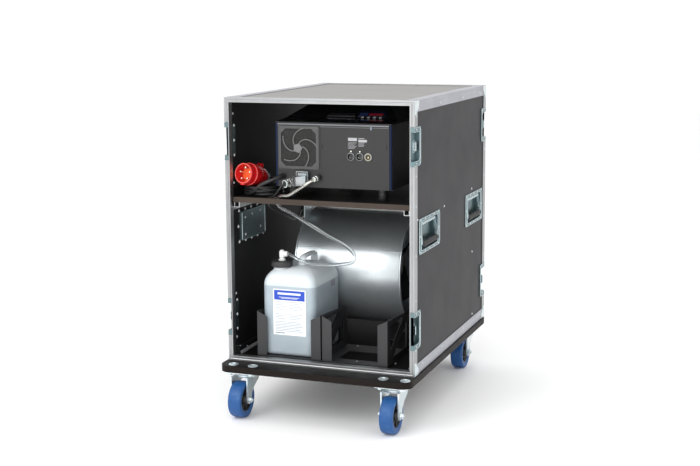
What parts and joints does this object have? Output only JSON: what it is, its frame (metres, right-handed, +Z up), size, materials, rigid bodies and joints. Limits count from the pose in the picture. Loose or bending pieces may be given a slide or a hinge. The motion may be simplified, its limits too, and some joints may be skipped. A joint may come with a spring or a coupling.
{
  "type": "fog machine in a flight case",
  "caption": "Fog machine with fan tube, fluid canister, rack and cables in an open flight case on a castor board.",
  "frame": {"origin": "on the floor under the middle of the whole object, between the castors", "axes": "+Z up, +X to the right seen from the open front, +Y to the back"},
  "size_m": [0.5516, 0.826, 0.876],
  "materials": {
    "board_ply": "black film-faced ply with a brown edge",
    "zinc": "zinc plated",
    "caster_blue": "blue elastic tread",
    "rim_aluminium": "bright anodised",
    "panel_grey": "dark grey laminate on ply",
    "panel_top": "grey laminate on ply",
    "dish_zinc": "zinc plated, slight teal",
    "grip_rubber": "black moulded",
    "shelf_board": "dark laminate, brown-grey edge",
    "rack_black": "black powder coat",
    "duct_galvanised": "galvanised sheet",
    "motor_black": "matt black",
    "machine_grey": "dark grey satin",
    "hood_gloss": "gloss black",
    "heater_steel": "bare metal",
    "pump_brass": "bare metal",
    "fan_black": "moulded black",
    "button_cream": "moulded cream",
    "canister_white": "translucent white",
    "cap_grey": "dark grey ribbed",
    "elbow_white": "white",
    "plug_red": "red",
    "cable_black": "black sheath",
    "connector_metal": "grey die cast",
    "hose_clear": "clear, braided above the shelf"
  },
  "bodies": {
    "case": {"base_board": "board_ply", "cable_coil": "cable_black", "canister": "canister_white", "canister_rack": "rack_black", "caster_plate_fl": "zinc", "caster_plate_fr": "zinc", "caster_plate_rl": "zinc", "caster_plate_rr": "zinc", "connector_hood": "connector_metal", "control_cable": "cable_black", "edge_frame": "rim_aluminium", "fan_guard": "fan_black", "fan_motor": "motor_black", "fan_tube": "duct_galvanised", "fluid_hose": "hose_clear", "fluid_pump": "pump_brass", "handle_dish_front_left": "dish_zinc", "handle_dish_front_right": "dish_zinc", "handle_dish_rear_left": "dish_zinc", "handle_dish_rear_right": "dish_zinc", "heater_and_nozzle": "heater_steel", "hose_elbow": "elbow_white", "latch_dish_front_left_lower": "dish_zinc", "latch_dish_front_left_upper": "dish_zinc", "latch_dish_front_right_lower": "dish_zinc", "latch_dish_front_right_upper": "dish_zinc", "latch_dish_rear_left_lower": "dish_zinc", "latch_dish_rear_left_upper": "dish_zinc", "latch_dish_rear_right_lower": "dish_zinc", "latch_dish_rear_right_upper": "dish_zinc", "machine_body": "machine_grey", "machine_front_panel": "machine_grey", "machine_hood": "hood_gloss", "mains_plug": "plug_red", "panel_bottom": "panel_grey", "panel_left": "panel_grey", "panel_right": "panel_grey", "panel_top": "panel_top", "power_cable": "cable_black", "shelf": "shelf_board"},
    "fork_fl": {"caster_fork_fl": "zinc"},
    "wheel_fl": {"caster_wheel_fl": "caster_blue"},
    "fork_fr": {"caster_fork_fr": "zinc"},
    "wheel_fr": {"caster_wheel_fr": "caster_blue"},
    "fork_rl": {"caster_fork_rl": "zinc"},
    "wheel_rl": {"caster_wheel_rl": "caster_blue"},
    "fork_rr": {"caster_fork_rr": "zinc"},
    "wheel_rr": {"caster_wheel_rr": "caster_blue"},
    "bail_front_left": {"handle_bail_front_left": "grip_rubber"},
    "bail_front_right": {"handle_bail_front_right": "grip_rubber"},
    "bail_rear_left": {"handle_bail_rear_left": "grip_rubber"},
    "bail_rear_right": {"handle_bail_rear_right": "grip_rubber"},
    "impeller": {"tube_impeller": "motor_black"},
    "cooling_rotor": {"cooling_fan": "fan_black"},
    "lever": {"connector_lever": "connector_metal"},
    "cap": {"canister_cap": "cap_grey"},
    "button_1": {"panel_button_1": "button_cream"},
    "button_2": {"panel_button_2": "button_cream"},
    "button_3": {"panel_button_3": "button_cream"},
    "button_4": {"panel_button_4": "button_cream"}
  },
  "joints": [
    {"name": "caster_swivel_fl", "type": "hinge", "parent": "case", "child": "fork_fl", "pos_m": [-0.2175, -0.325, 0.1154], "axis": [0, 0, 1], "continuous": true},
    {"name": "caster_roll_fl", "type": "hinge", "parent": "fork_fl", "child": "wheel_fl", "pos_m": [-0.2175, -0.363, 0.05], "axis": [1, 0, 0], "continuous": true},
    {"name": "caster_swivel_fr", "type": "hinge", "parent": "case", "child": "fork_fr", "pos_m": [0.2175, -0.325, 0.1154], "axis": [0, 0, 1], "continuous": true},
    {"name": "caster_roll_fr", "type": "hinge", "parent": "fork_fr", "child": "wheel_fr", "pos_m": [0.2175, -0.363, 0.05], "axis": [1, 0, 0], "continuous": true},
    {"name": "caster_swivel_rl", "type": "hinge", "parent": "case", "child": "fork_rl", "pos_m": [-0.2175, 0.353, 0.1154], "axis": [0, 0, 1], "continuous": true},
    {"name": "caster_roll_rl", "type": "hinge", "parent": "fork_rl", "child": "wheel_rl", "pos_m": [-0.2175, 0.315, 0.05], "axis": [1, 0, 0], "continuous": true},
    {"name": "caster_swivel_rr", "type": "hinge", "parent": "case", "child": "fork_rr", "pos_m": [0.2175, 0.353, 0.1154], "axis": [0, 0, 1], "continuous": true},
    {"name": "caster_roll_rr", "type": "hinge", "parent": "fork_rr", "child": "wheel_rr", "pos_m": [0.2175, 0.315, 0.05], "axis": [1, 0, 0], "continuous": true},
    {"name": "handle_lift_front_left", "type": "hinge", "parent": "case", "child": "bail_front_left", "pos_m": [-0.262, -0.1885, 0.545], "axis": [0, 1, 0], "range_deg": [0, 85], "stiffness_Nm_per_rad": 0.15, "springref_deg": -17.19},
    {"name": "handle_lift_front_right", "type": "hinge", "parent": "case", "child": "bail_front_right", "pos_m": [0.262, -0.1885, 0.545], "axis": [0, -1, 0], "range_deg": [0, 85], "stiffness_Nm_per_rad": 0.15, "springref_deg": -17.19},
    {"name": "handle_lift_rear_left", "type": "hinge", "parent": "case", "child": "bail_rear_left", "pos_m": [-0.262, 0.272, 0.545], "axis": [0, 1, 0], "range_deg": [0, 85], "stiffness_Nm_per_rad": 0.15, "springref_deg": -17.19},
    {"name": "handle_lift_rear_right", "type": "hinge", "parent": "case", "child": "bail_rear_right", "pos_m": [0.262, 0.272, 0.545], "axis": [0, -1, 0], "range_deg": [0, 85], "stiffness_Nm_per_rad": 0.15, "springref_deg": -17.19},
    {"name": "duct_fan_spin", "type": "hinge", "parent": "case", "child": "impeller", "pos_m": [0.078, 0.088, 0.356], "axis": [1, 0, 0], "continuous": true},
    {"name": "cooling_fan_spin", "type": "hinge", "parent": "case", "child": "cooling_rotor", "pos_m": [-0.066, -0.277, 0.7425], "axis": [0, 1, 0], "continuous": true},
    {"name": "connector_lever_turn", "type": "hinge", "parent": "case", "child": "lever", "pos_m": [-0.0525, -0.303, 0.6565], "axis": [1, 0, 0], "range_deg": [0, 25]},
    {"name": "canister_cap_turn", "type": "hinge", "parent": "case", "child": "cap", "pos_m": [-0.1435, -0.238, 0.4032], "axis": [0, 0, 1], "range_deg": [0, 360]},
    {"name": "panel_button_1_press", "type": "slide", "parent": "case", "child": "button_1", "axis": [0, 0.4603, -0.8878], "range_m": [0, 0.001], "stiffness_N_per_m": 300, "springref_m": -0.0006},
    {"name": "panel_button_2_press", "type": "slide", "parent": "case", "child": "button_2", "axis": [0, 0.4603, -0.8878], "range_m": [0, 0.001], "stiffness_N_per_m": 300, "springref_m": -0.0006},
    {"name": "panel_button_3_press", "type": "slide", "parent": "case", "child": "button_3", "axis": [0, 0.4603, -0.8878], "range_m": [0, 0.001], "stiffness_N_per_m": 300, "springref_m": -0.0006},
    {"name": "panel_button_4_press", "type": "slide", "parent": "case", "child": "button_4", "axis": [0, 0.4603, -0.8878], "range_m": [0, 0.001], "stiffness_N_per_m": 300, "springref_m": -0.0006}
  ]
}
